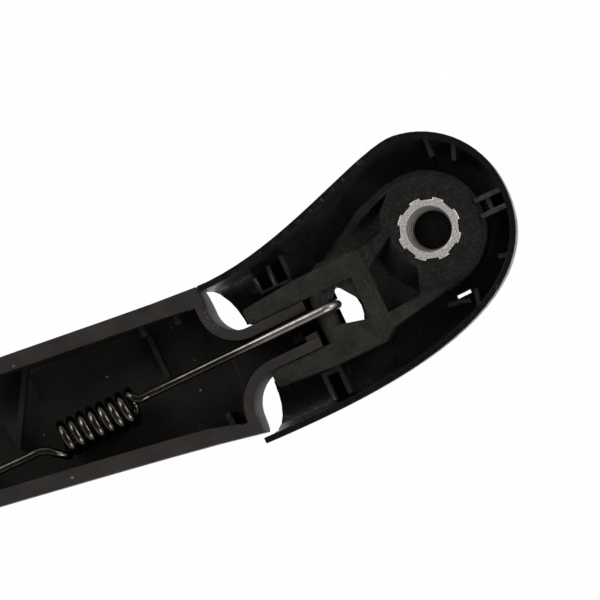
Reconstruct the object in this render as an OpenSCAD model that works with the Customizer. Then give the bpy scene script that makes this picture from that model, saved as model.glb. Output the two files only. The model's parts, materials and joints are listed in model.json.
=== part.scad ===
// Rear wiper arm, lying on its back with its glass side up.
// The origin is the centre of the spindle bore, in the plane of its mouth.
// +Z leaves the bore towards the glass, and -X runs along the clevis towards the blade.

/* [Spindle insert] */
// Diameter of the spindle bore at its mouth
bore_mouth_d = 9.7; // [9:0.1:10.6]
// Length of the straight entry at the mouth
entry_len = 1; // [0.5:0.1:2]
// Length of the tapered seat
taper_len = 6; // [4:0.5:7]
// Diameter of the straight hole beyond the taper
stud_hole_d = 8.2; // [7.4:0.1:8.8]
// Length of the straight hole beyond the taper
stud_hole_len = 1.6; // [1:0.1:2.4]
// Diameter of the insert over its lobes
insert_d = 13.7; // [13:0.1:15]
// Depth of the grooves between the lobes
groove_depth = 0.6; // [0.3:0.1:0.8]
// Number of lobes
lobe_count = 8; // [6:1:12]

/* [Head frame] */
// Diameter of the boss plate
boss_d = 26; // [23:0.2:28]
// Height and width of the bevel round the boss plate
boss_bevel = 1.4; // [0.6:0.1:2]
// Diameter of the hub that the pockets leave round the insert
hub_d = 17; // [16.4:0.1:18]
// How far the insert stands out of the boss
insert_stand = 0.3; // [0:0.1:0.6]
// Distance of the clevis centre from the spindle axis, towards -Y
clevis_offset = 7.5; // [6:0.1:9]
// Inner gap of the clevis
clevis_gap = 11; // [9:0.1:12]
// Thickness of a cheek
cheek_t = 3.6; // [3:0.1:4]
// How much the cheeks swell outwards from the hinge to the wall
cheek_swell = 1.1; // [0.4:0.1:1.4]
// Reach of the cheeks beyond the hinge axis
cheek_reach = 14.8; // [12:0.2:16]
// Depth of the cheeks' faces below the bore's mouth
face_drop = 0.5; // [0.2:0.1:1]
// Radius of the cheeks' ends round the hinge pin
cheek_skirt = 4.2; // [3.4:0.1:4.4]
// Thickness of the wall behind the clevis
rear_wall_t = 4; // [3:0.1:5]
// Gap between the spring bar's axis and the wall behind the clevis
bar_gap = 8.4; // [7:0.1:9.4]
// Distance of the spring bar's axis from the hinge axis, towards the boss
bar_ahead = 1; // [0:0.2:2]
// Diameter of the spring bar
bar_d = 4.2; // [3.4:0.1:4.4]
// Depth of the spring bar's axis below the bore's mouth
bar_drop = 2.7; // [2.4:0.1:3]
// Thickness of the side webs
web_t = 2.2; // [1.6:0.1:3]
// Thickness of the plate that closes the frame's far side
back_plate_t = 2; // [1.4:0.1:2.4]

/* [Hinge] */
// Distance of the hinge axis from the spindle axis
hinge_reach = 29; // [28:0.2:30]
// Depth of the hinge axis below the bore's mouth
hinge_depth = 9.2; // [9:0.1:9.8]
// Diameter of the hinge pin
pin_d = 4; // [3:0.1:4.6]
// Radial play of the pin in the arm's knuckle
pin_play = 0.06; // [0.02:0.01:0.1]
// Outer diameter of the arm's knuckle
knuckle_d = 8; // [7.2:0.1:8.2]
// Side play of the tongue in the clevis
side_play = 0.2; // [0.15:0.05:0.4]

/* [Head cover] */
// Radius of the cover's round end
head_r = 19.5; // [18.5:0.1:21]
// Length from the spindle axis to the cover's open end
cover_reach = 51; // [50.4:0.2:51.4]
// Distance of the spindle axis from the cover's straight side at the open end
low_side = 26.4; // [25.6:0.1:28]
// Distance of the spindle axis from the cover's curved side at the open end
high_side = 10.4; // [10:0.1:12]
// Height of the rim above the bore's mouth
rim_rise = 0.6; // [0:0.1:1]
// Wall thickness of the skirt
cover_wall = 1.3; // [1:0.1:1.6]
// Thickness of the outer skin
skin_t = 1.6; // [1.2:0.1:1.8]
// Room for the nut between the boss and the skin
nut_room = 6.2; // [6:0.1:8]
// Depth over which the skin rounds into the skirt
shoulder_depth = 9; // [6:0.2:10]
// Width over which the skin rounds into the skirt
shoulder_run = 11; // [8:0.2:12]
// Play of the skin's notch round the arm's tongue
notch_play = 1.4; // [0.8:0.1:1.8]
// Distance from the hinge axis to the skin's sloped end
slope_reach = 16.4; // [15:0.2:17]
// Gap between the cover's curved side and the arm's root
end_gap = 0.3; // [0.2:0.05:0.5]
// Thickness of the cover's ribs
rib_t = 1; // [0.8:0.1:1.4]

/* [Arm] */
// Distance from the spindle axis to the blade pin's axis
arm_len = 296; // [250:2:340]
// Distance from the hinge axis to the arm's root face
root_reach = 21.6; // [21.4:0.1:22.4]
// Width of the arm beyond its flared root
arm_w = 32.6; // [31:0.2:33.4]
// Extra width of the flare at the root
root_flare = 1.8; // [0:0.1:2]
// Depth of the arm at its root
root_depth = 14.5; // [13.8:0.1:15]
// Depth of the arm at its tip
tip_depth = 9; // [8.4:0.1:11]
// Sideways lean of the arm where it leaves the head, in degrees
lean = 8; // [6:0.2:9]
// Width of the flat rims
rim_w = 3.7; // [3:0.1:4.2]
// Thickness of the floor
floor_t = 2.2; // [1.8:0.1:2.6]
// Radius of the arm's two long outer edges
edge_r = 5; // [3:0.1:6]
// Radius of the fillet between the root face and the tongue's high side
neck_r = 6.4; // [4:0.1:7]
// Radius of the fillet between the root face and the tongue's low side
low_neck_r = 7.8; // [5:0.1:8]
// Wall thickness of the tongue
tongue_wall = 2.2; // [1.8:0.1:2.6]
// Height of the channel's low cross ribs above its floor
rib_h = 4; // [2:0.2:6]

/* [Blade end] */
// Outer width over the two ears
tip_w = 15; // [13:0.2:17]
// Thickness of an ear
ear_t = 2.6; // [2:0.1:3]
// Diameter of the blade pin's hole
blade_hole_d = 5; // [4:0.1:6]
// Length of the ears
ear_len = 14; // [11:0.5:18]

/* [Spring] */
// Wire diameter
wire_d = 1.9; // [1.4:0.1:2]
// Outer diameter of the coil
coil_d = 8.8; // [8:0.1:9.2]
// Number of turns
turns = 8; // [6:1:9]
// Pitch of the turns
coil_pitch = 2.35; // [2.05:0.05:2.5]
// Distance from the spring bar to the coil
leg_len = 45.5; // [40:0.5:48]
// Sideways shift of the spring's hook from the middle of the clevis
spring_shift = 1.6; // [0:0.1:2]
// Least room between the spring and the arm's wall
spring_room = 0.3; // [0.2:0.1:0.5]
// Distance from the spring bar to the anchor pin
anchor_span = 88; // [84:0.5:92]
// Diameter of the anchor pin
anchor_d = 4; // [3:0.1:4.4]

/* [Hidden] */
$fn = 64;
eps = 0.02;

// Heights, all measured from the bore's mouth
insert_h = entry_len + taper_len + stud_hole_len;
boss_top = -insert_stand;
face_z = -face_drop;
skin_z = -(insert_h + nut_room);
cover_bottom = skin_z - skin_t;
cheek_bottom = -hinge_depth - cheek_skirt;
coil_z = -(coil_d / 2 + 0.4);

// Places along X and Y
clevis_y = -clevis_offset;
hinge_x = -hinge_reach;
cheek_end = hinge_x - cheek_reach;
bar_x = hinge_x + bar_ahead;
rear_wall_x = bar_x + bar_gap;
tongue_w = clevis_gap - 2 * side_play;
clevis_w = clevis_gap + 2 * cheek_t;
root_x = hinge_x - root_reach;
ear_root_x = -(arm_len - ear_len + ear_t);
coil_x = bar_x - leg_len;
anchor_x = bar_x - anchor_span;
anchor_z = coil_z;
spring_y = clevis_y + spring_shift;

function lerp(a, b, t) = a + (b - a) * t;
function unit(v) = v / norm(v);
function turned(r, angle) = r * [cos(angle), sin(angle)];
function bezier(p, t) = pow(1 - t, 3) * p[0] + 3 * pow(1 - t, 2) * t * p[1]
    + 3 * (1 - t) * t * t * p[2] + pow(t, 3) * p[3];

// The faces that close a ring, as a ladder from its start to its middle, which leaves no thin triangles
function ladder(n) = concat(
    [for (i = [0:ceil(n / 2) - 2]) i + 1 == n - 2 - i ? [i, i + 1, n - 1 - i] : [i, i + 1, n - 2 - i, n - 1 - i]]);
function shifted_back(faces, by) = [for (f = faces) [for (i = [len(f) - 1:-1:0]) f[i] + by]];

// A closed solid through rings of equal length, each turning right-handed about the way the rings go
module loft(rings) {
    n = len(rings[0]);
    last = len(rings) - 1;
    sides = [for (k = [0:last - 1], i = [0:n - 1], half = [0, 1])
        let (j = (i + 1) % n, a = k * n, b = a + n)
            half == 0 ? [a + i, b + j, a + j] : [a + i, b + i, b + j]];
    polyhedron([for (ring = rings, p = ring) p],
        concat(sides, ladder(n), shifted_back(ladder(n), last * n)));
}

// A round wire along a list of points
module wire(path, d, sides = 8) {
    n = len(path);
    heading = [for (i = [0:n - 1]) unit(path[min(i + 1, n - 1)] - path[max(i - 1, 0)])];
    across = [for (h = heading) unit(cross(abs(h[1]) < 0.9 ? [0, 1, 0] : [1, 0, 0], h))];
    loft([for (i = [0:n - 1]) [for (k = [0:sides - 1])
        path[i] + d / 2 * (cos(k * 360 / sides) * across[i]
            + sin(k * 360 / sides) * cross(heading[i], across[i]))]]);
}

module pin_y(x, y, z, d, length) {
    translate([x, y + length / 2, z]) rotate([90, 0, 0]) cylinder(d = d, h = length);
}

// Spindle insert: a lobed metal ring moulded into the boss
module lobed_outline() {
    difference() {
        circle(d = insert_d);
        for (k = [0:lobe_count - 1]) rotate(k * 360 / lobe_count + 26)
            translate([insert_d / 2 - groove_depth, -insert_d / 10]) square([insert_d, insert_d / 5]);
    }
}

module spindle_bore() {
    rotate_extrude() polygon([
        [0, 1],
        [bore_mouth_d / 2, 1],
        [bore_mouth_d / 2, -entry_len],
        [stud_hole_d / 2, -entry_len - taper_len],
        [stud_hole_d / 2, -insert_h - 1],
        [0, -insert_h - 1]]);
}

module spline_insert() {
    color("silver") difference() {
        translate([0, 0, -insert_h]) linear_extrude(insert_h) lobed_outline();
        spindle_bore();
    }
}

// Head frame: boss, side webs, clevis and spring bar in one moulding
high_cheek_y = clevis_y + clevis_w / 2;
low_cheek_y = clevis_y - clevis_w / 2;
wall_face_x = rear_wall_x + rear_wall_t;
boss_shift = -0.9;
// Corner of the side web between the boss and the clevis
web_corner = [-13, boss_d / 2 - 2.4];
web_drop = 1.4;

module frame_body_outline() {
    polygon([
        [hinge_x + 2, high_cheek_y + cheek_swell],
        web_corner,
        [boss_shift - 3, boss_d / 2 - 0.1],
        [boss_shift, 0],
        [boss_shift, -boss_d / 2],
        [rear_wall_x - 2, low_cheek_y],
        [rear_wall_x, clevis_y]]);
}

// Two pockets behind the clevis, parted by a rib from the hub to the rear wall
module pockets_outline() {
    difference() {
        union() {
            polygon([
                [wall_face_x - 6, high_cheek_y + web_t],
                web_corner - [0, web_t],
                [boss_shift - 4, boss_d / 2 - web_t],
                [boss_shift - 7.4, boss_d / 2 - 5.4],
                [boss_shift - 8.6, high_cheek_y + web_t],
                [wall_face_x, high_cheek_y + web_t / 2]]);
            polygon([
                [wall_face_x, low_cheek_y + 2 * web_t],
                [boss_shift - 7, -boss_d / 2 + web_t / 2],
                [boss_shift - 4, -hub_d / 4],
                [boss_shift - 7, high_cheek_y + web_t / 2],
                [wall_face_x, clevis_y + clevis_gap / 2]]);
        }
        circle(d = hub_d);
    }
}

// The hub widens towards the pockets' floor
module hub_slope() {
    floor_z = back_plate_t - insert_h;
    spread = 4.5;
    translate([0, 0, floor_z - 1]) cylinder(d = hub_d + 2 * spread, h = 1 + eps);
    translate([0, 0, floor_z]) cylinder(d1 = hub_d + 2 * spread, d2 = hub_d, h = boss_top - floor_z);
}

// A cheek in plan, on the side given by 1 or -1
module cheek_outline(side) {
    inner = clevis_y + side * clevis_gap / 2;
    outer = inner + side * cheek_t;
    chamfer = 0.5;
    polygon([
        [cheek_end + chamfer, inner],
        [rear_wall_x + eps, inner],
        [rear_wall_x + eps, outer + side * cheek_swell],
        [hinge_x - 2, outer + side * cheek_swell],
        [cheek_end + chamfer, outer],
        [cheek_end, outer - side * chamfer],
        [cheek_end, inner + side * chamfer]]);
}

module cheek(side) {
    y = clevis_y + side * (clevis_gap + cheek_t) / 2;
    step_z = cheek_bottom + 3;
    translate([0, 0, step_z]) linear_extrude(face_z - step_z) cheek_outline(side);
    pin_y(hinge_x, y, -hinge_depth, 2 * cheek_skirt, cheek_t);
    translate([hinge_x, y - cheek_t / 2, cheek_bottom])
        cube([rear_wall_x - hinge_x + eps, cheek_t, cheek_skirt + 1]);
}

// The wall behind the clevis, with its top edge cut back towards the boss and its near end chamfered
module rear_wall() {
    slope_run = 1.4;
    slope_drop = 2.6;
    end_run = 2.2;
    wall_w = clevis_w + 2 * cheek_swell;
    low_y = clevis_y - wall_w / 2;
    high_y = clevis_y + wall_w / 2;
    intersection() {
        translate([0, high_y, 0]) rotate([90, 0, 0]) linear_extrude(wall_w) polygon([
            [rear_wall_x, cheek_bottom],
            [wall_face_x, cheek_bottom],
            [wall_face_x, face_z - slope_drop],
            [wall_face_x - slope_run, face_z],
            [rear_wall_x, face_z]]);
        translate([0, 0, cheek_bottom - 1]) linear_extrude(2 - cheek_bottom) polygon([
            [rear_wall_x - 1, low_y - 1],
            [rear_wall_x + 1, low_y],
            [wall_face_x, low_y + end_run],
            [wall_face_x + 1, low_y + end_run],
            [wall_face_x + 1, high_y + 1],
            [rear_wall_x - 1, high_y + 1]]);
    }
}

module boss_plate() {
    translate([boss_shift, 0, -insert_h]) {
        cylinder(d = boss_d, h = insert_h + boss_top - boss_bevel);
        translate([0, 0, insert_h + boss_top - boss_bevel])
            cylinder(d1 = boss_d, d2 = boss_d - 2 * boss_bevel, h = boss_bevel);
    }
}

// Plates in the corners between the spring bar and the cheeks
module bar_gussets() {
    low_y = clevis_y - clevis_gap / 2 - eps;
    high_y = clevis_y + clevis_gap / 2 + eps;
    wall_x = bar_x + bar_gap + eps;
    past_bar_x = bar_x + bar_d / 2 + 0.4;
    low_w = 2.8;
    low_wall_w = 1.3;
    high_w = 2.4;
    high_end_w = 1.4;
    high_drop = 0.6;
    translate([0, 0, -bar_drop]) linear_extrude(bar_drop - face_drop) polygon([
        [bar_x, low_y],
        [wall_x, low_y],
        [wall_x, low_y + low_wall_w],
        [past_bar_x, low_y + low_w],
        [bar_x, low_y + low_w]]);
    translate([0, 0, -bar_drop]) linear_extrude(bar_drop - face_drop - high_drop) polygon([
        [bar_x, high_y],
        [bar_x, high_y - high_w],
        [past_bar_x, high_y - high_w],
        [wall_x - 2 * high_w, high_y - high_end_w],
        [wall_x - high_w - high_end_w, high_y]]);
}

// Cut that lets the far side web slope down from the boss towards the clevis
module web_slope() {
    web_end_x = wall_face_x - 1;
    near_y = high_cheek_y + web_t;
    translate([0, near_y + boss_d, 0]) rotate([90, 0, 0]) linear_extrude(boss_d) polygon([
        [boss_shift - 3, -web_drop],
        [boss_shift - 3, 1],
        [hinge_x, 1],
        [hinge_x, back_plate_t - insert_h],
        [web_end_x, back_plate_t - insert_h]]);
}

module head_frame() {
    color([0.16, 0.165, 0.145]) difference() {
        union() {
            boss_plate();
            rear_wall();
            difference() {
                translate([0, 0, -insert_h]) linear_extrude(insert_h - web_drop) frame_body_outline();
                web_slope();
            }
            for (side = [-1, 1]) cheek(side);
            bar_gussets();
            pin_y(bar_x, clevis_y, -bar_drop, bar_d, clevis_gap + 2 * eps);
        }
        translate([0, 0, -insert_h - 1]) linear_extrude(insert_h + 2) lobed_outline();
        difference() {
            translate([0, 0, back_plate_t - insert_h]) linear_extrude(insert_h) pockets_outline();
            hub_slope();
        }
        pin_y(hinge_x, clevis_y, -hinge_depth, pin_d, clevis_w + 4);
    }
}

// Hinge pin: plain steel, pressed into both cheeks
module hinge_pin() {
    color("gray") pin_y(hinge_x, clevis_y, -hinge_depth, pin_d, clevis_w);
}

// Head cover: a thin shell with a skirt, ribs and a notch for the arm's tongue
head_c = [-1, 1.9];
low_steps = 28;
high_steps = 18;
end_steps = 14;
// Share by which the straight side's points gather at its round end, where it turns fastest
gather = 0.4;
high_end = [-cover_reach, high_side];
low_end = [-cover_reach, -low_side];
// Angles where the round end meets the two flanks, and how far each flank is drawn straight at its ends
low_meet = 6;
high_meet = 83;
low_pull = [0.47, 0.63] * cover_reach;
high_pull = [0.16, 0.39] * cover_reach;
low_start = head_c + turned(head_r, low_meet);
high_start = head_c + turned(head_r, high_meet);
low_flank = [low_end, low_end + turned(low_pull[0], -2), low_start + turned(low_pull[1], low_meet - 90), low_start];
high_flank = [high_start, high_start + turned(high_pull[0], high_meet + 90), high_end + turned(high_pull[1], -4),
    high_end];
cover_edge = concat(
    [for (i = [0:low_steps]) let (u = i / low_steps) bezier(low_flank, lerp(u, sin(90 * u), gather))],
    [for (i = [1:end_steps]) head_c + turned(head_r, lerp(low_meet, high_meet, i / end_steps))],
    [for (i = [1:high_steps]) bezier(high_flank, i / high_steps)]);
edge_n = len(cover_edge);
// Unit vector from each point of the edge into the cover, square to a chord over several points.
// A shorter chord turns so fast at the curved flank that the inner rings would cross themselves.
chord_steps = 7;
inward = [for (i = [0:edge_n - 1])
    let (t = unit(cover_edge[min(i + chord_steps, edge_n - 1)] - cover_edge[max(i - chord_steps, 0)]))
        i == 0 ? [0, 1] : i == edge_n - 1 ? [0, -1] : [-t[1], t[0]]];

function cover_ring(inset, z, stretch = 0) = [for (i = [0:edge_n - 1])
    let (p = cover_edge[i] + inset * inward[i], end = i == 0 || i == edge_n - 1)
        [p[0] - (end ? stretch : 0), p[1], z]];
skirt_draft = 0.3;
shoulder_z = cover_bottom + shoulder_depth;

// Rings of the cover from its skin to its rim, moved in by a wall and up by a skin
function cover_rings(wall, skin, top, stretch) = concat(
    [for (a = [90:-15:0]) cover_ring(wall + skirt_draft + shoulder_run * (1 - cos(a)),
        shoulder_z - shoulder_depth * sin(a) + skin, stretch)],
    [cover_ring(wall, top, stretch)]);

module cover_inside() {
    loft(cover_rings(cover_wall, skin_t, rim_rise + 1, 1));
}

module cover_notch() {
    half = tongue_w / 2 + notch_play;
    notch_x = hinge_x + 0.7;
    translate([0, clevis_y, cover_bottom - 1]) linear_extrude(1 + skin_t + 1.2) polygon(concat(
        [[-cover_reach - 1, -half]],
        [for (a = [-90:15:90]) [notch_x, 0] + turned(half, a)],
        [[-cover_reach - 1, half]]));
}

// A rib from one point to another in plan, standing on the skin
module cover_rib(from, to, top) {
    run = to - from;
    translate([from[0], from[1], cover_bottom]) rotate(atan2(run[1], run[0]))
        translate([0, -rib_t / 2, 0]) cube([norm(run), rib_t, top - cover_bottom]);
}

// A comb of ribs beside the clevis, joined by a wall that touches the cheek
module clevis_comb(first_x, reaches, side) {
    pitch = 3.6;
    top = -4.5;
    wall_y = clevis_y + side * (clevis_w / 2 + cheek_swell + rib_t / 2);
    last_x = first_x - (len(reaches) - 1) * pitch;
    for (k = [0:len(reaches) - 1])
        cover_rib([first_x - k * pitch, wall_y], [first_x - k * pitch, wall_y + side * reaches[k]], top);
    cover_rib([last_x - rib_t / 2, wall_y], [first_x + rib_t / 2, wall_y], top);
}

// Two ribs with a bridge, whose lips snap over the boss plate's edge
module boss_snap() {
    edge_x = boss_shift + boss_d / 2 + 0.5;
    lip_x = edge_x - boss_bevel;
    snap_y = [1.15, -2.45];
    lip_top = rim_rise - 0.2;
    bridge_x = edge_x + 1.3;
    bridge_top = -1;
    for (y = snap_y) {
        cover_rib([edge_x, y], [head_c[0] + head_r + rib_t, y], lip_top);
        translate([lip_x, y - rib_t / 2, boss_top]) cube([boss_bevel + rib_t, rib_t, lip_top - boss_top]);
    }
    cover_rib([bridge_x, snap_y[0]], [bridge_x, snap_y[1]], bridge_top);
}

// Short ribs from a ring round the boss plate to the skirt, each by the angles of its two ends,
// and one that stops between them
module boss_ribs() {
    start_r = boss_d / 2 + 3;
    top = -4.2;
    for (a = [[61, 69], [44, 51], [-45, -36], [-75, -84]])
        cover_rib(boss_place(start_r, a[0]), boss_place(head_r + 3, a[1]), top);
    cover_rib(boss_place(start_r + 0.3, -100), boss_place(start_r + 1.4, -83), top - 0.8);
}

function boss_place(r, angle) = [boss_shift, 0] + turned(r, angle);

module snap_slot() {
    slot = [3.3, 0.8];
    slot_place = boss_place(boss_d / 2 + 2, -90) + [0.6, 0];
    translate([slot_place[0] - slot[0] / 2, slot_place[1] - slot[1] / 2, cover_bottom - 1])
        cube([slot[0], slot[1], shoulder_depth]);
}

// On its curved side the cover stops short of the arm's root, which it would otherwise meet
module end_trim() {
    translate([-cover_reach - 1, clevis_y, cover_bottom - 1])
        cube([root_x + end_gap + cover_reach + 1, head_r + cover_reach, rim_rise - cover_bottom + 2]);
}

// The skin's open end slopes, so that the arm's root can swing past it
module end_slope() {
    cut_x = hinge_x - slope_reach;
    translate([0, 30, 0]) rotate([90, 0, 0]) linear_extrude(60) polygon([
        [-cover_reach - 1, -4],
        [-cover_reach + 0.6, -4],
        [cut_x, skin_z - 1],
        [cut_x, cover_bottom - 1],
        [-cover_reach - 1, cover_bottom - 1]]);
}

module head_cover() {
    color([0.07, 0.07, 0.075]) difference() {
        union() {
            difference() {
                loft(cover_rings(0, 0, rim_rise, 0));
                cover_inside();
            }
            intersection() {
                loft(cover_rings(cover_wall / 2, skin_t / 2, rim_rise, 0));
                boss_snap();
            }
            intersection() {
                loft(cover_rings(cover_wall / 2, skin_t / 2, rim_rise, 0));
                union() {
                    clevis_comb(hinge_x - 2.8, [5.8, 5, 3.8], 1);
                    clevis_comb(hinge_x - 1.6, [6, 6], -1);
                    boss_ribs();
                }
            }
        }
        cover_notch();
        end_slope();
        end_trim();
        snap_slot();
    }
}

// Arm: channel, tongue, spring anchor lugs and blade ears in one piece
root_y = clevis_y + 0.7;
stations = 22;
// How far the channel's walls lean in from its rims to its floor
wall_lean = 0.6;
span = root_x - ear_root_x;
function arm_x(t) = root_x - span * t;
function arm_y(t) = root_y + span * tan(lean) * (t - pow(t, 3) / 3);
function arm_width(t) = lerp(arm_w, tip_w, pow(t, 1.5)) + root_flare * exp(-20 * t);
function arm_depth(t) = lerp(root_depth, tip_depth, pow(t, 0.8));
function wall_width(t) = lerp(rim_w, ear_t, t);
function share_at(x) = (root_x - x) / span;
function floor_z(x) = floor_t - arm_depth(share_at(x));
function high_wall_y(x) = arm_y(share_at(x)) + arm_width(share_at(x)) / 2 - wall_width(share_at(x));
function low_wall_y(x) = arm_y(share_at(x)) - arm_width(share_at(x)) / 2 + wall_width(share_at(x));

function channel_ring(t) = let (
    w = arm_width(t) / 2, d = arm_depth(t), r = min(edge_r, arm_depth(t) - 3, w - 2), x = arm_x(t), y = arm_y(t)) concat(
        [[x, y + w, 0]],
        [for (a = [0:15:90]) [x, y + w - r + r * cos(a), -d + r - r * sin(a)]],
        [for (a = [90:-15:0]) [x, y - w + r - r * cos(a), -d + r - r * sin(a)]],
        [[x, y - w, 0]]);

function cavity_ring(t, x) = let (
    w = arm_width(t) / 2 - wall_width(t), d = arm_depth(t) - floor_t, y = arm_y(t)) [
        [x, y + w, 1], [x, y + w - wall_lean, -d], [x, y - w + wall_lean, -d], [x, y - w, 1]];

module channel() {
    difference() {
        loft([for (i = [0:stations]) channel_ring(i / stations)]);
        loft([for (i = [0:stations])
            cavity_ring(i / stations, arm_x(i / stations) + (i == 0 ? -rim_w : i == stations ? -1 : 0))]);
    }
}

module neck_outline(shrink) {
    face = root_x - rim_w;
    half = tongue_w / 2 - shrink;
    low_reach = low_neck_r + shrink;
    high_reach = neck_r + shrink;
    for (side = [-1, 1]) {
        reach = side < 0 ? low_reach : high_reach;
        difference() {
            translate([face, clevis_y - (side < 0 ? half + reach : 0)])
                square([root_x - face - shrink + reach, half + reach]);
            translate([root_x - shrink + reach, clevis_y + side * (half + reach)]) circle(r = reach);
        }
    }
    translate([face, clevis_y - half]) square([hinge_x - face, 2 * half]);
}

tongue_end_x = bar_x - bar_d / 2 - 1.1;

module tongue() {
    intersection() {
        translate([0, 0, -20]) linear_extrude(20) neck_outline(0);
        translate([0, 30, 0]) rotate([90, 0, 0]) linear_extrude(60) polygon([
            [root_x - rim_w, 0],
            [tongue_end_x, 0],
            [tongue_end_x, -hinge_depth],
            [hinge_x, -hinge_depth],
            [hinge_x, -hinge_depth - knuckle_d / 2],
            [root_x - rim_w, -root_depth]]);
    }
    pin_y(hinge_x, clevis_y, -hinge_depth, knuckle_d, tongue_w);
}

// The thick end of the tongue's low wall, and the post beside it
module tongue_posts() {
    low_y = clevis_y - tongue_w / 2;
    thick_end = [2.8, 3.5, hinge_depth + 0.4];
    post = [2.4, 1.8, 8];
    post_gap = 0.7;
    translate([tongue_end_x - thick_end[0], low_y, -hinge_depth - 1]) cube(thick_end);
    translate([tongue_end_x - thick_end[0] - post_gap - post[0], low_y + thick_end[1] - 0.5,
        -hinge_depth - knuckle_d / 2 + 1]) cube(post);
}

module tongue_pocket() {
    pocket_floor = -hinge_depth - knuckle_d / 2 + 1.6;
    translate([0, 0, pocket_floor]) linear_extrude(20) {
        neck_outline(tongue_wall);
        translate([root_x - rim_w - 1, low_wall_y(root_x - rim_w) + 0.6])
            square([rim_w - tongue_wall + 1, high_wall_y(root_x - rim_w) - low_wall_y(root_x - rim_w) - 1.2]);
        translate([hinge_x - eps, clevis_y - tongue_w / 2 + tongue_wall])
            square([knuckle_d, tongue_w - 2 * tongue_wall]);
    }
}

// The coil and the anchor pin keep their room to the arm's low wall, which closes in towards the tip
coil_len = turns * coil_pitch;
coil_y = max(spring_y - 0.8, low_wall_y(coil_x - coil_len) + wall_lean + coil_d / 2 + spring_room);
anchor_y = max(spring_y - 1, low_wall_y(anchor_x - anchor_d) + wall_lean + wire_d / 2 + spring_room);

// Lugs that hold the anchor pin on both sides of the spring's hook
lug_t = 2;
lug_gap = wire_d + 1.2;
anchor_pin_len = lug_gap + 2 * lug_t;

module anchor_lug(side) {
    lug_y = anchor_y + side * (lug_gap + lug_t) / 2;
    lug_bottom = floor_z(anchor_x) - floor_t / 2;
    translate([anchor_x - anchor_d, lug_y - lug_t / 2, lug_bottom])
        cube([2 * anchor_d, lug_t, anchor_z - lug_bottom]);
    pin_y(anchor_x, lug_y, anchor_z, 2 * anchor_d, lug_t);
}

// A cross rib in the channel, from one point to another in plan
module channel_rib(from, to, t, top) {
    run = to - from;
    bottom = floor_z(from[0]) - floor_t / 2;
    translate([from[0], from[1], bottom]) rotate(atan2(run[1], run[0]))
        translate([0, -t / 2, 0]) cube([norm(run), t, top - bottom]);
}

// Stubs on the channel's walls near the root, and two low ribs that end beside the spring
module channel_ribs() {
    high_stub_x = root_x - 7;
    low_stub_x = root_x - 5.6;
    straight_x = root_x - 14.8;
    skew_x = root_x - 41.5;
    skew_run = 9.4;
    stub = [2.4, 1.2];
    stub_top = -2.4;
    low_rib_t = 1.1;
    rib_end_y = spring_y + wire_d;
    for (x = [high_stub_x, straight_x])
        channel_rib([x, high_wall_y(x) + 1], [x, high_wall_y(x) - stub[0]], stub[1], stub_top);
    channel_rib([low_stub_x, low_wall_y(low_stub_x) - 1], [low_stub_x, low_wall_y(low_stub_x) + stub[0]],
        stub[1], stub_top);
    channel_rib([straight_x, high_wall_y(straight_x) + 1], [straight_x, rib_end_y], low_rib_t,
        floor_z(straight_x) + rib_h);
    channel_rib([skew_x, high_wall_y(skew_x) + 1], [skew_x - skew_run, rib_end_y], low_rib_t,
        floor_z(skew_x) + rib_h);
}

module ears() {
    y = arm_y(1);
    for (side = [-1, 1]) {
        ear_y = y + side * (tip_w - ear_t) / 2;
        pin_y(-arm_len, ear_y, -tip_depth / 2, tip_depth, ear_t);
        translate([-arm_len, ear_y - ear_t / 2, -tip_depth])
            cube([arm_len + ear_root_x + 3, ear_t, tip_depth]);
    }
}

module arm_channel() {
    color([0.12, 0.12, 0.125]) difference() {
        union() {
            channel();
            tongue();
            for (side = [-1, 1]) anchor_lug(side);
            channel_ribs();
            ears();
        }
        difference() {
            tongue_pocket();
            tongue_posts();
        }
        pin_y(hinge_x, clevis_y, -hinge_depth, pin_d + 2 * pin_play, tongue_w + 2);
        pin_y(anchor_x, anchor_y, anchor_z, anchor_d, anchor_pin_len);
        pin_y(-arm_len, arm_y(1), -tip_depth / 2, blade_hole_d, tip_w + 2);
    }
}

module spring_anchor_pin() {
    color("gray") pin_y(anchor_x, anchor_y, anchor_z, anchor_d, anchor_pin_len);
}

// Spring: a close coil with a hooked leg at each end
coil_r = (coil_d - wire_d) / 2;
turn_steps = 16;
hook_play = 0.05;

function hook(x, y, z, r, from, to, steps) = [for (i = [0:steps])
    let (a = lerp(from, to, i / steps)) [x + r * cos(a), y, z + r * sin(a)]];

module tension_spring() {
    coil_end_x = coil_x - coil_len;
    first = 2;
    last = (turns - 0.25) * turn_steps;
    path = concat(
        hook(bar_x, spring_y, -bar_drop, (bar_d + wire_d) / 2 + hook_play, -70, 90, 10),
        [[coil_x + 3.6, spring_y, coil_z + 2.4], [coil_x + 1.4, spring_y, coil_z + 2.9]],
        [for (i = [first:last]) let (a = 360 * i / turn_steps)
            [coil_x - coil_pitch * i / turn_steps, coil_y + coil_r * sin(a), coil_z + coil_r * cos(a)]],
        [[coil_end_x - 1.2, coil_y - 2, coil_z + 1.8],
            [coil_end_x - 3.6, coil_y - 0.4, coil_z + 2.4],
            [coil_end_x - 7.6, anchor_y, coil_z + 2.6]],
        hook(anchor_x, anchor_y, anchor_z, (anchor_d + wire_d) / 2 + hook_play, 88, 215, 8));
    color([0.2, 0.2, 0.2]) wire(path, wire_d);
}

head_frame();
spline_insert();
head_cover();
arm_channel();
hinge_pin();
tension_spring();
spring_anchor_pin();
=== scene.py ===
# %% [markdown]
# # Rear wiper arm, seen from its glass side
#
# The arm lies on its back. Its round head shows the bright spindle insert, the clevis with the spring
# bar, and the black cover that is snapped on round them. The long channel of the arm leaves the picture
# at its lower left, with the close coil of the tension spring inside it.
#
# The solids come from the imported model, in metres. We first load it.

# %% Load the imported model
import json
import math

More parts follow.
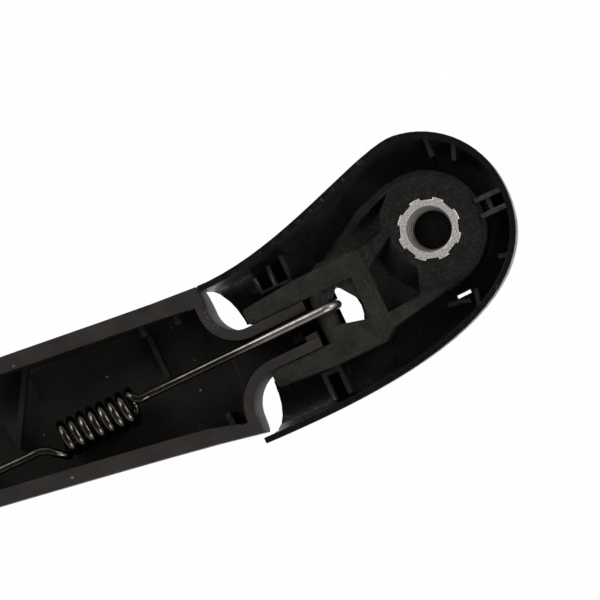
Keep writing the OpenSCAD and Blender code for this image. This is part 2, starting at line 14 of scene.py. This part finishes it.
import bmesh
import bpy
from mathutils import Matrix, Vector

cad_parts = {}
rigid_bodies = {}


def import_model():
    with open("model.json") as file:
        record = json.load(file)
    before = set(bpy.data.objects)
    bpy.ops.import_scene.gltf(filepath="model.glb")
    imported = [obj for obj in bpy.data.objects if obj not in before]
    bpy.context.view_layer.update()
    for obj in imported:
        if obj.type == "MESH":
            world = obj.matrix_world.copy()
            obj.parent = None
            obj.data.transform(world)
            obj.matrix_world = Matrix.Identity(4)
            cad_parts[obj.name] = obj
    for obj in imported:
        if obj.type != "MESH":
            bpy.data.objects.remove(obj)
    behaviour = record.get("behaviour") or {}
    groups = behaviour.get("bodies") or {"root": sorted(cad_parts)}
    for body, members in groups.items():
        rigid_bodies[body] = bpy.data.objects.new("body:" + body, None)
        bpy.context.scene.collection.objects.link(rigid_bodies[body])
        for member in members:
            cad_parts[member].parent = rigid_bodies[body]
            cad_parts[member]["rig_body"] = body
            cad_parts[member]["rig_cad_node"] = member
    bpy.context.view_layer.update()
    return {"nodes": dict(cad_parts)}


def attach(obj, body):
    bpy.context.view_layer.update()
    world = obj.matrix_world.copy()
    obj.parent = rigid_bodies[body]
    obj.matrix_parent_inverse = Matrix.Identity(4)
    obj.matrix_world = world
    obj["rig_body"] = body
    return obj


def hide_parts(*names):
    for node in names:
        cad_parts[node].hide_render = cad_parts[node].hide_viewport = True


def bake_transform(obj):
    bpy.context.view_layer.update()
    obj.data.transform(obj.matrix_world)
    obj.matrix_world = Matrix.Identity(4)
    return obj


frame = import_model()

mm = 0.001

# %% [markdown]
# ## The camera
#
# The photograph was taken from nearly straight above, with the part turned in the picture. Three lines
# fix such a view: the way back from the part to the lens, the way to the right in the picture, and the
# point in the middle of the frame. A long lens far away keeps the sides parallel, as in the photograph.

# %% Place the camera
view_back = Vector((0.0984, -0.0655, 1.0)).normalized()
view_right = Vector((0.9033, -0.4289, 0.0))
frame_centre = Vector((-31.46, -1.78, 0.0)) * mm
lens_foot = Vector((-12.0, -4.0, 0.0)) * mm
lens_distance = 1.2
frame_width = 127.66 * mm

camera_place = lens_foot + view_back * lens_distance
look_back = (camera_place - frame_centre).normalized()
look_right = (view_right - view_right.dot(look_back) * look_back).normalized()
look_up = look_back.cross(look_right)
bpy.ops.object.select_all(action="DESELECT")
bpy.ops.object.camera_add(location=camera_place)
camera = bpy.context.active_object
camera.name = "camera"
camera.rotation_euler = Matrix((look_right, look_up, look_back)).transposed().to_euler()
camera.data.sensor_width = 36.0
camera.data.lens = camera.data.sensor_width * lens_distance / frame_width
camera.data.clip_end = 20.0
bpy.context.scene.camera = camera
bpy.context.scene.view_settings.view_transform = "Standard"
print("lens, mm:", round(camera.data.lens, 1))

# %% [markdown]
# ## Light and background
#
# A product photograph on white has a bright table and soft light from the sides, and the camera's own
# side is dark. Black plastic shows little but reflections, so this matters more than the plastic's
# colour: its upright walls mirror the white round it, and its floors mirror the dark side above them.
# The world is therefore white for the camera, and for reflections it is white at the horizon and
# dark overhead.

# %% Set the world
floor_level = -0.35
world_light = 0.5
overhead_glow = 0.1
horizon_glow = 0.7
dimming_start = 0.2
dimming_end = 0.8

world = bpy.data.worlds.new("studio")
bpy.context.scene.world = world
world.use_nodes = True
nodes, links = world.node_tree.nodes, world.node_tree.links
room = nodes["Background"]
room.inputs["Color"].default_value = (1.0, 1.0, 1.0, 1.0)
room.inputs["Strength"].default_value = world_light
backdrop = nodes.new("ShaderNodeBackground")
backdrop.inputs["Color"].default_value = (1.0, 1.0, 1.0, 1.0)
backdrop.inputs["Strength"].default_value = 1.0
mirrored = nodes.new("ShaderNodeBackground")
mirrored.inputs["Strength"].default_value = 1.0
direction = nodes.new("ShaderNodeTexCoord")
height = nodes.new("ShaderNodeSeparateXYZ")
links.new(direction.outputs["Generated"], height.inputs["Vector"])
dimming = nodes.new("ShaderNodeMapRange")
dimming.interpolation_type = "SMOOTHSTEP"
dimming.inputs["From Min"].default_value = dimming_start
dimming.inputs["From Max"].default_value = dimming_end
dimming.inputs["To Min"].default_value = horizon_glow
dimming.inputs["To Max"].default_value = overhead_glow
links.new(height.outputs["Z"], dimming.inputs["Value"])
links.new(dimming.outputs["Result"], mirrored.inputs["Color"])
rays = nodes.new("ShaderNodeLightPath")
glossy_mix = nodes.new("ShaderNodeMixShader")
links.new(rays.outputs["Is Glossy Ray"], glossy_mix.inputs["Fac"])
links.new(room.outputs["Background"], glossy_mix.inputs[1])
links.new(mirrored.outputs["Background"], glossy_mix.inputs[2])
seen_directly = nodes.new("ShaderNodeMath")
seen_directly.operation = "MAXIMUM"
links.new(rays.outputs["Is Camera Ray"], seen_directly.inputs[0])
links.new(rays.outputs["Is Transmission Ray"], seen_directly.inputs[1])
camera_mix = nodes.new("ShaderNodeMixShader")
links.new(seen_directly.outputs["Value"], camera_mix.inputs["Fac"])
links.new(glossy_mix.outputs["Shader"], camera_mix.inputs[1])
links.new(backdrop.outputs["Background"], camera_mix.inputs[2])
links.new(camera_mix.outputs["Shader"], nodes["World Output"].inputs["Surface"])
print("world light:", world_light)

# %% [markdown]
# The floor lies well below the part, so that the arm can be lifted without passing through it. What
# the camera and reflections see of it is mostly its own white, and the rest is lit, so a soft shadow
# stays.

# %% Lay the floor
floor_glow = 0.97
floor_width = 8.0
paper_white = (0.86, 0.86, 0.86)

bpy.ops.object.select_all(action="DESELECT")
bpy.ops.mesh.primitive_plane_add(size=floor_width, location=(0.0, 0.0, floor_level))
floor = bpy.context.active_object
floor.name = "floor"
bpy.ops.object.mode_set(mode="EDIT")
bpy.ops.mesh.subdivide(number_cuts=3)
bpy.ops.object.mode_set(mode="OBJECT")
bpy.ops.object.transform_apply(location=True, rotation=True, scale=True)
paper = bpy.data.materials.new("white_paper")
paper.use_nodes = True
nodes, links = paper.node_tree.nodes, paper.node_tree.links
sheet = nodes["Principled BSDF"]
sheet.inputs["Base Color"].default_value = (*paper_white, 1.0)
sheet.inputs["Roughness"].default_value = 0.9
glow = nodes.new("ShaderNodeEmission")
glow.inputs["Color"].default_value = (1.0, 1.0, 1.0, 1.0)
glow.inputs["Strength"].default_value = 1.0
rays = nodes.new("ShaderNodeLightPath")
camera_or_glossy = nodes.new("ShaderNodeMath")
camera_or_glossy.operation = "MAXIMUM"
links.new(rays.outputs["Is Camera Ray"], camera_or_glossy.inputs[0])
links.new(rays.outputs["Is Glossy Ray"], camera_or_glossy.inputs[1])
any_view = nodes.new("ShaderNodeMath")
any_view.operation = "MAXIMUM"
links.new(camera_or_glossy.outputs["Value"], any_view.inputs[0])
links.new(rays.outputs["Is Transmission Ray"], any_view.inputs[1])
share = nodes.new("ShaderNodeMath")
share.operation = "MULTIPLY"
share.inputs[1].default_value = floor_glow
links.new(any_view.outputs["Value"], share.inputs[0])
paper_mix = nodes.new("ShaderNodeMixShader")
links.new(share.outputs["Value"], paper_mix.inputs["Fac"])
links.new(sheet.outputs["BSDF"], paper_mix.inputs[1])
links.new(glow.outputs["Emission"], paper_mix.inputs[2])
links.new(paper_mix.outputs["Shader"], nodes["Material Output"].inputs["Surface"])
floor.data.materials.append(paper)
print("floor at, m:", floor_level)

# %% [markdown]
# Three soft lamps stand round the part, at the upper left, the right and the lower right of the
# picture. They draw the bright lines on the wire, on the spindle insert and on the rounded shoulders of
# the cover, and leave the black floors dark.

# %% Hang the lamps
def hang_lamp(name, place, size, power):
    bpy.ops.object.select_all(action="DESELECT")
    bpy.ops.object.light_add(type="AREA", location=place)
    lamp = bpy.context.active_object
    lamp.name = name
    lamp.data.shape = "RECTANGLE"
    lamp.data.size, lamp.data.size_y = size
    lamp.data.energy = power
    lamp.rotation_euler = (frame_centre - Vector(place)).to_track_quat("-Z", "Y").to_euler()
    print(name, "power, W:", power)


hang_lamp("left_lamp", (-0.55, 0.75, 0.75), (0.7, 0.4), 5.0)
hang_lamp("right_lamp", (0.9, 0.1, 0.6), (0.5, 0.5), 3.0)
hang_lamp("low_lamp", (0.35, -0.75, 0.7), (0.5, 0.3), 3.0)

# %% [markdown]
# ## Finishes
#
# Every finish is made of the same few nodes: a noise that says where the surface differs, a ramp or a
# range that turns it into a colour or a roughness, and a bump for the grain. Patterns read Object
# coordinates, in metres, so a scale of 3000 gives grains of about a third of a millimetre.

# %% Helpers that start a finish and its patterns
def start_finish(name, roughness, metallic=0.0, specular=0.5):
    finish = bpy.data.materials.new(name)
    finish.use_nodes = True
    shader = finish.node_tree.nodes["Principled BSDF"]
    shader.inputs["Roughness"].default_value = roughness
    shader.inputs["Specular IOR Level"].default_value = specular
    shader.inputs["Metallic"].default_value = metallic
    place = finish.node_tree.nodes.new("ShaderNodeTexCoord").outputs["Object"]
    return finish, shader, place


def stretched(finish, place, scale):
    mapping = finish.node_tree.nodes.new("ShaderNodeMapping")
    mapping.inputs["Scale"].default_value = scale
    finish.node_tree.links.new(place, mapping.inputs["Vector"])
    return mapping.outputs["Vector"]


def noise(finish, place, scale, detail=3.0):
    texture = finish.node_tree.nodes.new("ShaderNodeTexNoise")
    texture.inputs["Scale"].default_value = scale
    texture.inputs["Detail"].default_value = detail
    finish.node_tree.links.new(place, texture.inputs["Vector"])
    return texture.outputs["Fac"]


# %% Helpers that turn a pattern into colours or a range
def ramp(finish, value, stops):
    colors = finish.node_tree.nodes.new("ShaderNodeValToRGB")
    while len(colors.color_ramp.elements) < len(stops):
        colors.color_ramp.elements.new(0.5)
    for element, (position, color) in zip(colors.color_ramp.elements, stops):
        element.position = position
        element.color = (*color, 1.0)
    finish.node_tree.links.new(value, colors.inputs["Fac"])
    return colors.outputs["Color"]


def mixed(finish, share, first, second):
    mix = finish.node_tree.nodes.new("ShaderNodeMix")
    mix.data_type = "RGBA"
    finish.node_tree.links.new(share, mix.inputs["Factor"])
    for socket, color in ((mix.inputs["A"], first), (mix.inputs["B"], second)):
        if isinstance(color, tuple):
            socket.default_value = (*color, 1.0)
        else:
            finish.node_tree.links.new(color, socket)
    return mix.outputs["Result"]


def ranged(finish, value, lowest, highest, start=0.3, end=0.7):
    span = finish.node_tree.nodes.new("ShaderNodeMapRange")
    span.inputs["From Min"].default_value = start
    span.inputs["From Max"].default_value = end
    span.inputs["To Min"].default_value = lowest
    span.inputs["To Max"].default_value = highest
    finish.node_tree.links.new(value, span.inputs["Value"])
    return span.outputs["Result"]


# %% [markdown]
# Wear, dust, painted shade and painted highlights lie in places of their own. The distance from a centre
# says how much of a pattern a point gets: all of it within the radius, none beyond it, and a soft change
# between. A factor for each axis stretches the ball, and a factor of nought makes it a column.

# %% Helpers for the places of wear and painted light, and for grain
def within(finish, place, centre, radius, fade, scale=(1.0, 1.0, 1.0)):
    offset = finish.node_tree.nodes.new("ShaderNodeVectorMath")
    offset.operation = "SUBTRACT"
    offset.inputs[1].default_value = tuple(v * mm for v in centre)
    finish.node_tree.links.new(place, offset.inputs[0])
    squeezed = finish.node_tree.nodes.new("ShaderNodeVectorMath")
    squeezed.operation = "MULTIPLY"
    squeezed.inputs[1].default_value = scale
    finish.node_tree.links.new(offset.outputs["Vector"], squeezed.inputs[0])
    distance = finish.node_tree.nodes.new("ShaderNodeVectorMath")
    distance.operation = "LENGTH"
    finish.node_tree.links.new(squeezed.outputs["Vector"], distance.inputs[0])
    return ranged(finish, distance.outputs["Value"], 1.0, 0.0, (radius - fade) * mm, (radius + fade) * mm)


def both(finish, first, second):
    product = finish.node_tree.nodes.new("ShaderNodeMath")
    product.operation = "MULTIPLY"
    finish.node_tree.links.new(first, product.inputs[0])
    finish.node_tree.links.new(second, product.inputs[1])
    return product.outputs["Value"]


def grain(finish, shader, height, strength, depth):
    bump = finish.node_tree.nodes.new("ShaderNodeBump")
    bump.inputs["Strength"].default_value = strength
    bump.inputs["Distance"].default_value = depth
    finish.node_tree.links.new(height, bump.inputs["Height"])
    finish.node_tree.links.new(bump.outputs["Normal"], shader.inputs["Normal"])


# %% [markdown]
# The head frame is a plastic filled with short glass fibres. Its skin is dull and grainy, an olive
# grey, with paler flecks where fibres lie near the surface. Round the boss the grey is darker, a painted
# shade, and the distance from the spindle's axis mixes it with the paler grey of the clevis. The top of
# the wall behind the clevis is chipped, and shows a few bright specks.

# %% Glass-filled plastic
upright = (1.0, 1.0, 0.0)
boss_shade_reach, boss_shade_fade = 14.5, 3.5
wall_top, wall_top_reach, wall_top_fade = (-16.2, 0.0, -1.0), 2.4, 1.0
along_wall = (1.0, 0.12, 1.0)
fiber_color = (0.05, 0.0485, 0.042)
chip_color = (0.15, 0.145, 0.13)

frame_plastic, shader, place = start_finish("frame_plastic", 0.6, specular=0.16)
links = frame_plastic.node_tree.links
# Painted shade: the boss is painted a darker grey than the clevis.
boss_shade_share = within(frame_plastic, place, (0.0, 0.0, 0.0), boss_shade_reach, boss_shade_fade, upright)
cloud = noise(frame_plastic, place, 230.0, 5.0)
fleck = noise(frame_plastic, stretched(frame_plastic, place, (1.0, 0.6, 1.0)), 2300.0, 4.0)
boss_shade_color = ramp(frame_plastic, cloud,
                  ((0.35, (0.0042, 0.004, 0.0034)), (0.65, (0.0082, 0.0077, 0.0064))))
clevis_color = ramp(frame_plastic, cloud,
                    ((0.35, (0.0092, 0.0093, 0.0076)), (0.65, (0.0195, 0.0192, 0.0155))))
body_color = mixed(frame_plastic, boss_shade_share, clevis_color, boss_shade_color)
fleck_share = ranged(frame_plastic, fleck, 0.0, 0.32, 0.5, 0.7)
flecked_color = mixed(frame_plastic, fleck_share, body_color, fiber_color)
chip = noise(frame_plastic, place, 2600.0, 1.0)
worn_share = both(frame_plastic, ranged(frame_plastic, chip, 0.0, 0.8, 0.72, 0.78),
                  within(frame_plastic, place, wall_top, wall_top_reach, wall_top_fade, along_wall))
links.new(mixed(frame_plastic, worn_share, flecked_color, chip_color), shader.inputs["Base Color"])
links.new(ranged(frame_plastic, fleck, 0.45, 0.72), shader.inputs["Roughness"])
grain(frame_plastic, shader, fleck, 1.0, 0.25 * mm)
print("finish:", frame_plastic.name)

# %% [markdown]
# The head cover is a black moulding with a smooth skin. Handling has left faint scuffs, which are
# rougher streaks in its gloss. Its rim mirrors less, and its colour is painted darker there, a painted
# shade. The rim lies above all the rest, so its height finds it.

# %% Smooth black plastic
cover_rim_low, cover_rim_high = 0.45 * mm, 0.55 * mm
cover_rim_shade_color = (0.005, 0.0048, 0.0047)
cover_gloss, cover_rim_gloss = 0.4, 0.15

cover_plastic, shader, place = start_finish("cover_plastic", 0.36, specular=cover_gloss)
scuff = noise(cover_plastic, stretched(cover_plastic, place, (1.0, 0.16, 1.0)), 900.0, 5.0)
cloud = noise(cover_plastic, place, 120.0)
links = cover_plastic.node_tree.links
skin_color = ramp(cover_plastic, cloud,
                  ((0.3, (0.0125, 0.0122, 0.0122)), (0.7, (0.0265, 0.0258, 0.0252))))
split = cover_plastic.node_tree.nodes.new("ShaderNodeSeparateXYZ")
links.new(place, split.inputs["Vector"])
rim_share = ranged(cover_plastic, split.outputs["Z"], 0.0, 1.0, cover_rim_low, cover_rim_high)
# Painted shade: the rim's top is painted darker than the rest of the skin.
rim_shaded_color = mixed(cover_plastic, rim_share, skin_color, cover_rim_shade_color)
links.new(rim_shaded_color, shader.inputs["Base Color"])
links.new(ranged(cover_plastic, rim_share, cover_gloss, cover_rim_gloss, 0.0, 1.0),
          shader.inputs["Specular IOR Level"])
links.new(ranged(cover_plastic, scuff, 0.22, 0.52, 0.35, 0.65), shader.inputs["Roughness"])
grain(cover_plastic, shader, noise(cover_plastic, place, 1500.0, 2.0), 0.12, 0.04 * mm)
print("finish:", cover_plastic.name)

# %% [markdown]
# The arm is satin black. Its flat rims are matt, and painted paler than its channel, a painted highlight
# for the light on their tops. A brown film of dust lies on the channel's floor, with a few brighter
# specks. The neck beside the clevis is rubbed, with fine pale scratches on its edge.

# %% Satin black plastic of the arm
rim_low, rim_high = -1.2 * mm, -0.2 * mm
dust_low, dust_high = -11.0 * mm, -6.0 * mm
speck_color = (0.13, 0.12, 0.1)
scratch_color = (0.2, 0.19, 0.18)
neck_edge, neck_reach, neck_fade = (-48.5, 3.8, -0.3), 3.4, 1.8

arm_plastic, shader, place = start_finish("arm_plastic", 0.5, specular=0.22)
links = arm_plastic.node_tree.links
split = arm_plastic.node_tree.nodes.new("ShaderNodeSeparateXYZ")
links.new(place, split.inputs["Vector"])
rim_share = ranged(arm_plastic, split.outputs["Z"], 0.0, 1.0, rim_low, rim_high)
dust_share = ranged(arm_plastic, split.outputs["Z"], 1.0, 0.0, dust_low, dust_high)
cloud = noise(arm_plastic, place, 140.0, 5.0)
body_color = ramp(arm_plastic, cloud, ((0.3, (0.0042, 0.0039, 0.0035)), (0.7, (0.0078, 0.0072, 0.0062))))
dusty_color = ramp(arm_plastic, cloud, ((0.3, (0.0048, 0.0043, 0.0031)), (0.7, (0.0092, 0.0082, 0.0057))))
# Painted highlight: the rims' tops are painted paler than the channel.
rim_lit_color = ramp(arm_plastic, cloud, ((0.3, (0.0158, 0.0133, 0.0118)), (0.7, (0.0262, 0.0222, 0.0196))))
channel_color = mixed(arm_plastic, dust_share, body_color, dusty_color)
shaded_color = mixed(arm_plastic, rim_share, channel_color, rim_lit_color)
speck = noise(arm_plastic, place, 700.0, 0.0)
speck_share = ranged(arm_plastic, speck, 0.0, 0.8, 0.85, 0.86)
specked_color = mixed(arm_plastic, speck_share, shaded_color, speck_color)
scratch = noise(arm_plastic, stretched(arm_plastic, place, (0.3, 1.0, 1.0)), 4200.0, 2.0)
rubbed = within(arm_plastic, place, neck_edge, neck_reach, neck_fade)
rub_share = both(arm_plastic, ranged(arm_plastic, scratch, 0.0, 0.7, 0.58, 0.68), rubbed)
links.new(mixed(arm_plastic, rub_share, specked_color, scratch_color), shader.inputs["Base Color"])
links.new(ranged(arm_plastic, rim_share, 0.58, 0.66, 0.0, 1.0), shader.inputs["Roughness"])
grain(arm_plastic, shader, noise(arm_plastic, place, 2200.0, 3.0), 0.6, 0.12 * mm)
print("finish:", arm_plastic.name)

# %% [markdown]
# The spindle insert is turned metal. Its face is pitted and slightly pink, and the tool has left steps
# in its bore, which we draw with bands along Z. The distance from the axis tells the two apart.

# %% Turned metal
bore_wall_reach, bore_wall_fade = 4.95, 0.05

insert_metal, shader, place = start_finish("insert_metal", 0.42, metallic=0.6)
rings = insert_metal.node_tree.nodes.new("ShaderNodeTexWave")
rings.wave_type = "BANDS"
rings.bands_direction = "Z"
rings.inputs["Scale"].default_value = 190.0
rings.inputs["Distortion"].default_value = 1.2
links = insert_metal.node_tree.links
links.new(place, rings.inputs["Vector"])
pitting = noise(insert_metal, place, 3600.0, 4.0)
face_color = ramp(insert_metal, pitting, ((0.33, (0.3, 0.27, 0.265)), (0.5, (0.62, 0.585, 0.565)),
                                          (0.66, (0.9, 0.88, 0.86))))
step_color = ramp(insert_metal, rings.outputs["Fac"],
                  ((0.25, (0.15, 0.135, 0.125)), (0.75, (0.66, 0.62, 0.58))))
in_bore = within(insert_metal, place, (0.0, 0.0, 0.0), bore_wall_reach, bore_wall_fade, upright)
links.new(mixed(insert_metal, in_bore, face_color, step_color), shader.inputs["Base Color"])
links.new(ranged(insert_metal, in_bore, 0.4, 0.62, 0.0, 1.0), shader.inputs["Roughness"])
grain(insert_metal, shader, pitting, 0.3, 0.03 * mm)
print("finish:", insert_metal.name)

# %% [markdown]
# The spring is drawn wire with a dark oiled skin. Towards the hook in the head the wire is painted paler
# and made rougher, a painted highlight for the broad reflection there. The pins are plain ground steel.

# %% Dark wire and ground steel
hook_place, highlight_reach, highlight_fade = (-31.0, -5.9, 0.0), 14.0, 6.0

spring_steel, shader, place = start_finish("spring_steel", 0.25, metallic=1.0)
links = spring_steel.node_tree.links
oil = noise(spring_steel, place, 420.0, 4.0)
dark_skin = ramp(spring_steel, oil, ((0.3, (0.055, 0.05, 0.044)), (0.7, (0.125, 0.112, 0.1))))
# Painted highlight: the wire is painted paler and rougher near the hook.
highlight_share = within(spring_steel, place, hook_place, highlight_reach, highlight_fade)
highlight_color = ramp(spring_steel, oil, ((0.3, (0.3, 0.275, 0.26)), (0.7, (0.46, 0.42, 0.4))))
links.new(mixed(spring_steel, highlight_share, dark_skin, highlight_color), shader.inputs["Base Color"])
links.new(ranged(spring_steel, highlight_share, 0.17, 0.34, 0.0, 1.0), shader.inputs["Roughness"])
grain(spring_steel, shader, noise(spring_steel, place, 900.0, 2.0), 0.08, 0.02 * mm)

pin_steel, shader, place = start_finish("pin_steel", 0.35, metallic=1.0)
links = pin_steel.node_tree.links
scratch = noise(pin_steel, stretched(pin_steel, place, (1.0, 0.12, 1.0)), 1800.0, 3.0)
links.new(ramp(pin_steel, scratch, ((0.3, (0.3, 0.3, 0.3)), (0.7, (0.46, 0.455, 0.45)))),
          shader.inputs["Base Color"])
links.new(ranged(pin_steel, scratch, 0.26, 0.42), shader.inputs["Roughness"])
grain(pin_steel, shader, scratch, 0.2, 0.02 * mm)
print("finishes:", spring_steel.name, pin_steel.name)

# %% [markdown]
# ## Moulded edges
#
# The solids have knife-sharp edges, and nothing that leaves a mould does. A real edge is slightly
# rounded and catches a thin line of light. We copy each solid, merge the corners of its loose triangles,
# select the sharp edges and bevel them. We keep the triangles of the flat faces: joined into large faces
# with many corners, they fold when the bevel moves their edges.
#
# A bevel crosses itself where it has too little room. So an edge is left out when a side edge at one of
# its ends is shorter than two roundings need, or leaves it at less than 30 degrees.

# %% Helper that selects the edges with room for a rounding
sharp_turn = math.radians(32.0)
in_line = math.cos(math.radians(35.0))
too_thin = math.cos(math.radians(30.0))
needed_room = 2.1
boundless = 1.0


def room_beside(edge):
    room = boundless
    for corner in edge.verts:
        along = (edge.other_vert(corner).co - corner.co).normalized()
        for side in corner.link_edges:
            if side is not edge:
                reach = side.other_vert(corner).co - corner.co
                agreement = along.dot(reach.normalized())
                if agreement > too_thin:
                    return 0.0
                if abs(agreement) < in_line:
                    room = min(room, reach.length)
    return room


def select_sharp_edges(piece, width):
    mesh = bmesh.from_edit_mesh(piece.data)
    mesh.edges.ensure_lookup_table()
    chosen = 0
    for edge in mesh.edges:
        sharp = len(edge.link_faces) == 2 and edge.calc_face_angle() > sharp_turn
        edge.select_set(sharp and room_beside(edge) > needed_room * width)
        chosen += edge.select
    mesh.select_mode = {"EDGE"}
    mesh.select_flush_mode()
    bmesh.update_edit_mesh(piece.data)
    return chosen


# %% [markdown]
# Smooth shading spreads the turn at a rounding over the large flat faces beside it. Weighted normals let
# the large faces decide, so a flat wall looks flat right up to its rounding. The rounded copy stands for
# the solid, which stays hidden for the physics.

# %% Helper that rounds a copy of a solid
join_reach = 0.01 * mm
smooth_turn = math.radians(34.0)


def rounded_copy(node, name, body, finish, edge):
    bpy.ops.object.select_all(action="DESELECT")
    solid = frame["nodes"][node]
    solid.select_set(True)
    bpy.context.view_layer.objects.active = solid
    bpy.ops.object.duplicate()
    piece = bpy.context.active_object
    bpy.ops.object.parent_clear(type="CLEAR_KEEP_TRANSFORM")
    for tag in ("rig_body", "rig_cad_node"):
        if tag in piece:
            del piece[tag]
    piece.name = name
    piece.data.name = name
    bpy.ops.object.mode_set(mode="EDIT")
    bpy.ops.mesh.select_mode(type="EDGE")
    bpy.ops.mesh.select_all(action="SELECT")
    bpy.ops.mesh.remove_doubles(threshold=join_reach)
    bpy.ops.mesh.normals_make_consistent(inside=False)
    bpy.ops.mesh.select_all(action="DESELECT")
    rounded = select_sharp_edges(piece, edge)
    bpy.ops.mesh.bevel(offset=edge, segments=2, affect="EDGES", clamp_overlap=False)
    bpy.ops.object.mode_set(mode="OBJECT")
    bpy.ops.object.shade_smooth_by_angle(angle=smooth_turn)
    bpy.ops.object.modifier_add(type="WEIGHTED_NORMAL")
    even_shading = piece.modifiers[-1]
    even_shading.mode = "FACE_AREA"
    even_shading.weight = 100
    even_shading.keep_sharp = True
    bpy.ops.object.modifier_apply(modifier=even_shading.name)
    piece.data.materials.clear()
    piece.data.materials.append(finish)
    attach(piece, body)
    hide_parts(node)
    print(name, "rounded edges:", rounded, "faces:", len(piece.data.polygons))


# %% Round the pieces
rounded_copy("head_frame", "head_frame_moulding", "head", frame_plastic, 0.13 * mm)
rounded_copy("spline_insert", "spindle_ring", "head", insert_metal, 0.2 * mm)
rounded_copy("head_cover", "head_cover_shell", "head", cover_plastic, 0.16 * mm)
rounded_copy("arm_channel", "arm_moulding", "arm", arm_plastic, 0.16 * mm)
rounded_copy("hinge_pin", "hinge_pin_ground", "head", pin_steel, 0.2 * mm)
rounded_copy("spring_anchor_pin", "anchor_pin_ground", "arm", pin_steel, 0.2 * mm)

# %% [markdown]
# ## The tension spring
#
# The wire hooks over the bar in the head, runs down the tongue as a straight leg, winds into a close
# coil, and hooks round a pin further down the arm. A curve with a round bevel is the natural way to
# draw wire. We give it the same route as the solid spring, with more points, and turn it into a mesh.

# %% Find the spring's route
wire_radius = 0.95
bar_d, anchor_d, hook_play = 4.2, 4.0, 0.05
bar_x, bar_z, spring_y = -28.0, -2.7, -5.9
coil_x, coil_y, coil_z, coil_radius = -73.5, -6.7, -4.8, 3.45
coil_pitch, turns, steps_per_turn = 2.35, 8, 16
anchor_x, anchor_y = -116.0, -6.9


def hook_points(x, y, z, radius, first, last, steps):
    angles = [math.radians(first + (last - first) * i / steps) for i in range(steps + 1)]
    return [(x + radius * math.cos(a), y, z + radius * math.sin(a)) for a in angles]


def coil_points():
    points = []
    for i in range(2, int((turns - 0.25) * steps_per_turn) + 1):
        angle = math.tau * i / steps_per_turn
        points.append((coil_x - coil_pitch * i / steps_per_turn, coil_y + coil_radius * math.sin(angle),
                       coil_z + coil_radius * math.cos(angle)))
    return points


coil_end = coil_x - turns * coil_pitch
route = hook_points(bar_x, spring_y, bar_z, bar_d / 2 + wire_radius + hook_play, -70, 90, 10)
route += [(coil_x + 3.6, spring_y, coil_z + 2.4), (coil_x + 1.4, spring_y, coil_z + 2.9)]
route += coil_points()
route += [(coil_end - 1.2, coil_y - 2, coil_z + 1.8), (coil_end - 3.6, coil_y - 0.4, coil_z + 2.4),
          (coil_end - 7.6, anchor_y, coil_z + 2.6)]
route += hook_points(anchor_x, anchor_y, coil_z, anchor_d / 2 + wire_radius + hook_play, 88, 215, 8)
print("route points:", len(route))

# %% [markdown]
# The curve along this route becomes a mesh with smooth shading and the wire's finish, and the solid
# spring is hidden.

# %% Draw the wire
wire_join_reach = 0.002 * mm
wire_smooth_turn = math.radians(50.0)

wire = bpy.data.curves.new("spring_wire", "CURVE")
wire.dimensions = "3D"
wire.bevel_depth = wire_radius * mm
wire.bevel_resolution = 5
wire.resolution_u = 4
wire.use_fill_caps = True
line = wire.splines.new("BEZIER")
line.bezier_points.add(len(route) - 1)
for knot, point in zip(line.bezier_points, route):
    knot.co = Vector(point) * mm
    knot.handle_left_type = knot.handle_right_type = "AUTO"
spring = bpy.data.objects.new("spring_wire", wire)
bpy.context.collection.objects.link(spring)
bpy.ops.object.select_all(action="DESELECT")
spring.select_set(True)
bpy.context.view_layer.objects.active = spring
bpy.ops.object.convert(target="MESH")
spring = bpy.context.active_object
bpy.ops.object.mode_set(mode="EDIT")
bpy.ops.mesh.select_all(action="SELECT")
bpy.ops.mesh.remove_doubles(threshold=wire_join_reach)
bpy.ops.mesh.normals_make_consistent(inside=False)
bpy.ops.object.mode_set(mode="OBJECT")
bpy.ops.object.shade_smooth_by_angle(angle=wire_smooth_turn)
spring.data.materials.clear()
spring.data.materials.append(spring_steel)
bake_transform(spring)
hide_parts("tension_spring")
print("spring faces:", len(spring.data.polygons))
